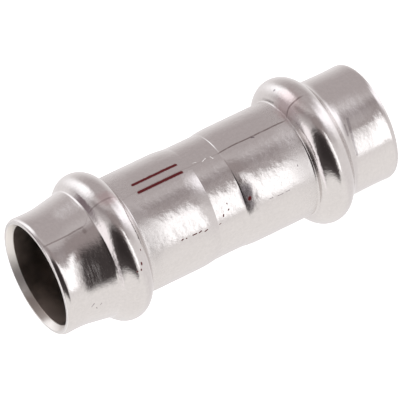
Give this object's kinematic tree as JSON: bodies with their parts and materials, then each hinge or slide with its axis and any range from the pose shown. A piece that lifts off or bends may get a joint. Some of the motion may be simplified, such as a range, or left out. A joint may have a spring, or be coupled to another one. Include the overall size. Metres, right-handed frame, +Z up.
{
  "type": "straight press coupling",
  "caption": "Straight steel press coupling: formed tube with a guide collar and a round press bead at each end, seal rings inside the beads and a necked pipe stop half way.",
  "frame": {"origin": "centre of the lower mouth, on the plane that the coupling stands on", "axes": "+Z up along the tube's axis, towards the upper mouth; X and Y across the tube"},
  "size_m": [0.0224, 0.0224, 0.055],
  "materials": {
    "steel": "satin stainless steel, smoother on the collars and beads",
    "seal_rubber": "black sealing rubber"
  },
  "bodies": {
    "root": {"coupling_body": "steel", "upper_seal_ring": "seal_rubber", "lower_seal_ring": "seal_rubber"}
  },
  "joints": []
}
